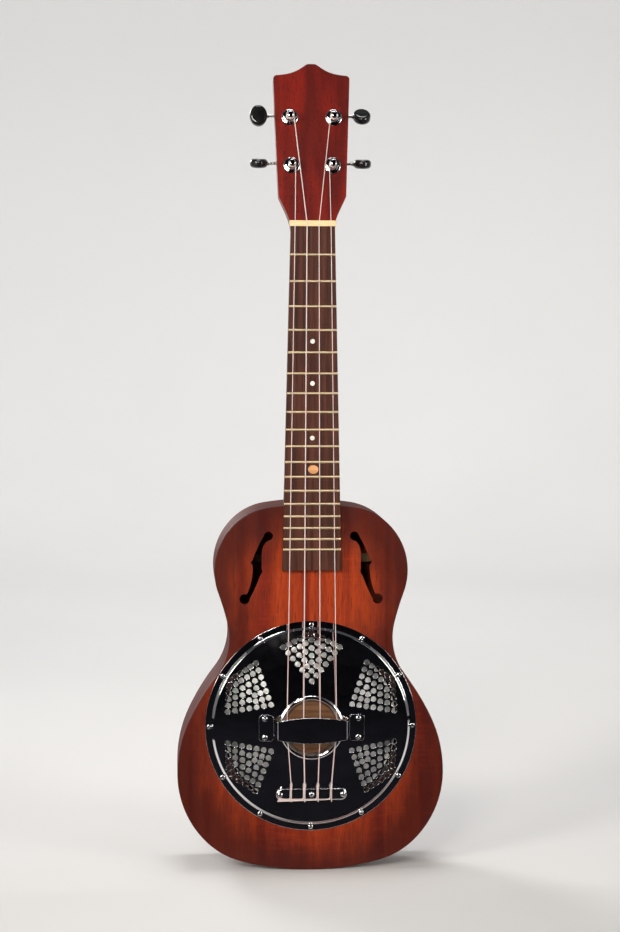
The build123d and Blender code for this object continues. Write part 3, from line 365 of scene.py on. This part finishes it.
def rounded(points, reach):
    """The line through the points, its inner corners eased over reach."""
    path = [points[0]]
    for before, corner, after in zip(points, points[1:], points[2:]):
        start, end = (
            corner + (other - corner).normalized() * min(reach, (other - corner).length / 2)
            for other in (before, after)
        )
        for step in range(CORNER_STEPS + 1):
            t = step / CORNER_STEPS
            path.append(start.lerp(corner, t).lerp(corner.lerp(end, t), t))
    path.append(points[-1])
    return path


def helix(centre, axis, start, turns, rise):
    """Points round an axis from start, a vector off the centre, rising by rise a turn."""
    steps = max(2, round(abs(turns) * TURN_STEPS))
    points = []
    for step in range(steps + 1):
        share = step / steps
        around = Quaternion(axis, 2 * math.pi * turns * share) @ start
        points.append(centre + around + axis * (rise * abs(turns) * share))
    return points


def tube(name, paths, diameter, slot_name, body):
    curve = bpy.data.curves.new(name, "CURVE")
    curve.dimensions = "3D"
    curve.bevel_depth = diameter / 2
    curve.bevel_resolution = 3
    curve.use_fill_caps = True
    for path in paths:
        spline = curve.splines.new("POLY")
        spline.points.add(len(path) - 1)
        for point, place in zip(spline.points, path):
            point.co = (*place, 1.0)
        spline.use_smooth = True
    piece = bpy.data.objects.new(name, curve)
    bpy.context.scene.collection.objects.link(piece)
    curve.materials.append(looks[slot_name])
    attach(piece, body)
    return piece


def post_wraps(letter, diameter, nut_spot):
    """The turns round a post, from where the string leaves for the nut to its end."""
    post = record_joints[f"post_{letter}_turn"]
    axis = Vector(post["axis"]).normalized()
    across = Vector((1, 0, 0))
    up = axis.cross(across)
    centre = Vector(post["pos_m"]) + axis * (WRAP_LOW + diameter / 2)
    side = math.copysign(1, centre.x)
    radius = WAIST_RADIUS + WRAP_GAP + diameter / 2
    to_nut = Vector(((nut_spot - centre).dot(across), (nut_spot - centre).dot(up)))
    # The string leaves the post on its inner side, along the tangent to the nut.
    heading = math.atan2(to_nut.y, to_nut.x) - side * math.acos(radius / to_nut.length)
    start = across * (radius * math.cos(heading)) + up * (radius * math.sin(heading))
    wraps = helix(centre, axis, start, -side * WRAP_TURNS, diameter)
    wraps.append(centre + axis * (diameter * (WRAP_TURNS + 0.4)))
    return wraps


def dress_string(letter, place, diameter, tail_drop):
    """One string from its post over nut and saddle to its knot at the tie bar.

    place counts string spacings from the middle; tail_drop fans out the loose ends.
    """
    nut_spot = Vector((
        place * NUT_SPACING, BOARD_Y - NUT_STRING_HEIGHT, (nut_low.z + nut_high.z) / 2
    ))
    saddle_spot = Vector((place * SADDLE_SPACING, BOARD_Y - SADDLE_STRING_HEIGHT, COVER_Z))
    wraps = post_wraps(letter, diameter, nut_spot)

    x = place * TIE_SPACING
    hole_y = BOARD_Y - STRING_HOLE_HEIGHT
    over_y = bar_low.y - diameter / 2 - 0.1 * MM
    run = [
        wraps[0], nut_spot, saddle_spot,
        Vector((x, hole_y, bar_high.z + 0.5 * MM)),
        Vector((x, hole_y, bar_low.z - 1.3 * MM)),
        Vector((x, over_y, bar_low.z - 1.3 * MM)),
        Vector((x, over_y, bar_high.z + 1.4 * MM)),
        Vector((x + 0.5 * MM, hole_y - 0.9 * MM, bar_high.z + 2.6 * MM)),
    ]
    main = list(reversed(wraps)) + rounded(run, STRING_BEND)[1:]

    knot_centre = Vector((x, hole_y - 0.35 * MM, bar_high.z + 3.4 * MM))
    knot = helix(knot_centre, Vector((0, 0, -1)), Vector((0.85 * diameter, 0, 0)),
                 KNOT_TURNS, diameter * 0.95)
    knot.append(Vector((x - 1.0 * MM, over_y, bar_high.z + 0.6 * MM)))
    tail = rounded([
        Vector((x - 1.1 * MM, over_y - 0.2 * MM, bar_low.z + 2.4 * MM)),
        Vector((x - 2.2 * MM, over_y - 0.5 * MM, bar_low.z + 0.8 * MM)),
        Vector((TAIL_END.x + 0.35 * (x - TAIL_END.x), over_y - 0.7 * MM,
                TAIL_END.z + tail_drop * 0.6)),
        Vector((TAIL_END.x + 0.4 * tail_drop, over_y - 0.6 * MM, TAIL_END.z + tail_drop)),
    ], TAIL_BEND)
    piece = tube(f"string_line_{letter}", [main, knot + tail], diameter, "string_nylon", "body")
    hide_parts(f"string_{letter}")


# letter, place across the neck, diameter and tail drop in mm
STRINGS = (
    ("g", -1.5, 0.76, 1.6),
    ("c", -0.5, 1.02, 0.7),
    ("e", 0.5, 0.81, -0.3),
    ("a", 1.5, 0.71, -1.1),
)

for letter, place, diameter, tail_drop in STRINGS:
    dress_string(letter, place, diameter * MM, tail_drop * MM)

# --- Floor, light and camera --------------------------------------------------------

ROOM_RADIUS = 3.4
ROOM_SIDES = 96
WALL_HEIGHT = 3.2
BEND_RADIUS = 1.2
BEND_STEPS = 16


def backdrop():
    """A round pale floor that bends up into a wall on every side."""
    section = [(0.02, 0.0), (ROOM_RADIUS - BEND_RADIUS, 0.0)]
    for step in range(1, BEND_STEPS + 1):
        angle = math.pi / 2 * step / BEND_STEPS
        section.append((
            ROOM_RADIUS - BEND_RADIUS + BEND_RADIUS * math.sin(angle),
            BEND_RADIUS - BEND_RADIUS * math.cos(angle),
        ))
    section.append((ROOM_RADIUS, WALL_HEIGHT))
    points = []
    for radius, height in section:
        for side in range(ROOM_SIDES):
            around = 2 * math.pi * side / ROOM_SIDES
            points.append((radius * math.cos(around), radius * math.sin(around), height))
    faces = [tuple(range(ROOM_SIDES))]
    for ring in range(len(section) - 1):
        for side in range(ROOM_SIDES):
            low, high = ring * ROOM_SIDES, (ring + 1) * ROOM_SIDES
            after = (side + 1) % ROOM_SIDES
            faces.append((low + side, high + side, high + after, low + after))
    mesh = bpy.data.meshes.new("backdrop")
    mesh.from_pydata(points, [], faces)
    mesh.polygons.foreach_set("use_smooth", [True] * len(faces))
    piece = bpy.data.objects.new("backdrop", mesh)
    bpy.context.scene.collection.objects.link(piece)
    look = Look("pale paper")
    mottle = look.noise((3, 3, 3), 3.0)
    look.set("Base Color", look.mix(mottle, (0.70, 0.69, 0.68), (0.74, 0.73, 0.72)))
    look.set("Roughness", look.span(mottle, 0.3, 0.7, 0.6, 0.7))
    mesh.materials.append(look.material)
    return piece


def softbox(name, place, target, size, power, spread, colour=(1, 1, 1), only=None):
    """A soft area light of that spread in degrees, which may light one collection only."""
    light = bpy.data.lights.new(name, "AREA")
    light.spread = math.radians(spread)
    light.shape = "RECTANGLE"
    light.size, light.size_y = size
    light.energy = power
    light.color = colour
    lamp = bpy.data.objects.new(name, light)
    if only:
        lamp.light_linking.receiver_collection = only
    lamp.location = place
    lamp.rotation_euler = (Vector(target) - Vector(place)).to_track_quat("-Z", "Y").to_euler()
    bpy.context.scene.collection.objects.link(lamp)


CARD_HALF_WIDTH = 1.5             # metres, as is all of the stage
CARD_PROFILE = ((-0.075, 0.003), (-1.95, 0.003), (-2.3, 0.35), (-2.3, 2.5))   # y, z


def dark_card():
    """Black card on the floor in front and behind the camera, seen by reflections only.

    It lets the chrome mirror a dark room while the floor stays pale.
    """
    points = []
    for y, z in CARD_PROFILE:
        points += [(-CARD_HALF_WIDTH, y, z), (CARD_HALF_WIDTH, y, z)]
    faces = [(n, n + 1, n + 3, n + 2) for n in range(0, len(points) - 2, 2)]
    mesh = bpy.data.meshes.new("dark card")
    mesh.from_pydata(points, [], faces)
    look = Look("black card", Roughness=1.0, Specular_IOR_Level=0.0)
    mottle = look.noise((9, 9, 9))
    look.set("Base Color", look.mix(mottle, (0.006, 0.006, 0.008), (0.014, 0.014, 0.018)))
    mesh.materials.append(look.material)
    card = bpy.data.objects.new("dark_card", mesh)
    bpy.context.scene.collection.objects.link(card)
    card.visible_camera = False
    card.visible_diffuse = False
    card.visible_shadow = False


studio = bpy.data.collections.new("studio")
studio.objects.link(backdrop())
dark_card()
MIDDLE = (cad_box[0] + cad_box[1]) / 2
WARM = (1.0, 0.95, 0.88)
FAINTLY_WARM = (1.0, 0.97, 0.93)
softbox("key", (-1.7, -1.6, 0.9), MIDDLE, (0.7, 1.0), 4.9, 60, WARM)
softbox("fill", (1.8, -1.45, 0.7), MIDDLE, (0.8, 1.0), 2.9, 60, FAINTLY_WARM)
softbox("front", (-0.45, -1.75, 1.0), MIDDLE, (0.4, 0.3), 1.2, 45, WARM)
softbox("overhead", (0.0, 0.1, 2.1), MIDDLE, (0.9, 0.6), 3.2, 90)
softbox("backdrop wash", (0.0, 0.5, 2.7), (0, 2.5, 0.5), (2.4, 0.8), 40, 110, only=studio)
softbox("front wall wash", (0.0, -0.5, 2.7), (0, -2.5, 0.5), (2.4, 0.8), 20, 110, only=studio)
softbox("back", (-1.1, 1.7, 1.2), MIDDLE, (0.8, 0.8), 2.4, 50)

world = bpy.data.worlds.new("studio")
world.use_nodes = True
background = world.node_tree.nodes["Background"]
background.inputs["Color"].default_value = (0.8, 0.85, 0.9, 1)
background.inputs["Strength"].default_value = 0.08
bpy.context.scene.world = world
bpy.context.scene.view_settings.view_transform = "Standard"

# A little left of the object and above its middle, with a slight roll.
CAMERA_TARGET = Vector((-0.002, BOARD_Y - 0.0075, 0.3565))
CAMERA_PLACE = CAMERA_TARGET + Vector((-0.118, -1.790, 0.112))
CAMERA_LENS = 80.2
CAMERA_ROLL = math.radians(0.18)

camera_data = bpy.data.cameras.new("camera")
camera_data.lens = CAMERA_LENS
camera = bpy.data.objects.new("camera", camera_data)
camera.location = CAMERA_PLACE
aim = (CAMERA_TARGET - CAMERA_PLACE).to_track_quat("-Z", "Y")
camera.rotation_mode = "QUATERNION"
camera.rotation_quaternion = aim @ Quaternion((0, 0, 1), CAMERA_ROLL)
bpy.context.scene.collection.objects.link(camera)
bpy.context.scene.camera = camera
